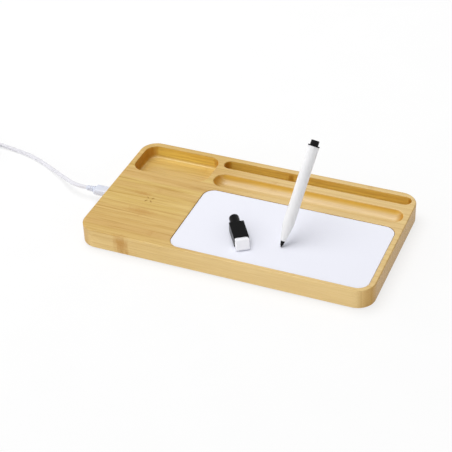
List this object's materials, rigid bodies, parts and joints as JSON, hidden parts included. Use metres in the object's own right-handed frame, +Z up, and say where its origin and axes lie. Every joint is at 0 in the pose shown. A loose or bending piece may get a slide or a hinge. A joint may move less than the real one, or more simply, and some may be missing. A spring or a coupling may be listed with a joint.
{
  "type": "charging station organizer",
  "caption": "Low bamboo desk organizer with a wireless charging pad, a whiteboard inlay, a tray, two pen grooves, a charging cable and a marker with an eraser cap.",
  "frame": {"origin": "on the table under the middle of the bamboo block", "axes": "+X along the block's length to the right, +Y to the back, +Z up"},
  "size_m": [0.425, 0.1366, 0.0868],
  "materials": {
    "bamboo": "oiled, fine grain along the length",
    "whiteboard": "glossy white writing film",
    "adhesive": "double-sided tape",
    "cover": "fine moulded texture",
    "screw_steel": "zinc plated",
    "foot_rubber": "matt",
    "coil_copper": "enamelled wire",
    "ferrite": "matt dark grey",
    "circuit": "solder mask",
    "chip_black": "moulded package",
    "capacitor_ceramic": "fired",
    "can_aluminium": "drawn can",
    "port_steel": "nickel plated",
    "tongue_black": "moulded",
    "cable_white": "smooth soft jacket",
    "grip_white": "satin overmould",
    "insert_white": "moulded",
    "tie_fabric": "hook and loop strap",
    "marker_white": "satin gloss",
    "marker_black": "satin",
    "nib_felt": "pressed fibre",
    "reservoir_fibre": "soaked fibre rod",
    "cap_black": "satin",
    "eraser_felt": "white felt",
    "magnet_black": "matt"
  },
  "bodies": {
    "base": {"bamboo_block": "bamboo", "whiteboard_panel": "whiteboard", "whiteboard_adhesive": "adhesive", "bottom_cover": "cover", "cover_screws": "screw_steel", "foot_front_left": "foot_rubber", "foot_front_right": "foot_rubber", "foot_back_left": "foot_rubber", "foot_back_right": "foot_rubber", "coil_adhesive": "adhesive", "charging_coil": "coil_copper", "ferrite_disc": "ferrite", "circuit_board": "circuit", "controller_chip": "chip_black", "power_switches": "chip_black", "resonance_capacitors": "capacitor_ceramic", "input_capacitor": "can_aluminium", "usb_c_receptacle": "port_steel", "receptacle_tongue": "tongue_black"},
    "cable": {"usb_c_plug_shell": "port_steel", "usb_c_plug_grip": "grip_white", "usb_c_strain_relief": "cable_white", "cable_lead": "cable_white", "cable_coil": "cable_white", "cable_tail": "cable_white", "cable_tie": "tie_fabric", "usb_a_strain_relief": "cable_white", "usb_a_plug_grip": "grip_white", "usb_a_plug_shell": "port_steel", "usb_a_insert": "insert_white"},
    "marker": {"marker_barrel": "marker_white", "marker_tail_plug": "marker_black", "marker_nib_holder": "marker_black", "marker_nib": "nib_felt", "marker_ink_reservoir": "reservoir_fibre"},
    "cap": {"eraser_cap": "cap_black", "felt_eraser": "eraser_felt", "cap_magnet": "magnet_black"}
  },
  "joints": [
    {"name": "cable_pull", "type": "slide", "parent": "base", "child": "cable", "axis": [-1, 0, 0], "range_m": [0, 0.012]},
    {"name": "marker_lift", "type": "slide", "parent": "base", "child": "marker", "axis": [0.112, 0.5927, 0.7976], "range_m": [0, 0.08]},
    {"name": "cap_lift", "type": "slide", "parent": "base", "child": "cap", "axis": [0, 0, 1], "range_m": [0, 0.05]}
  ]
}
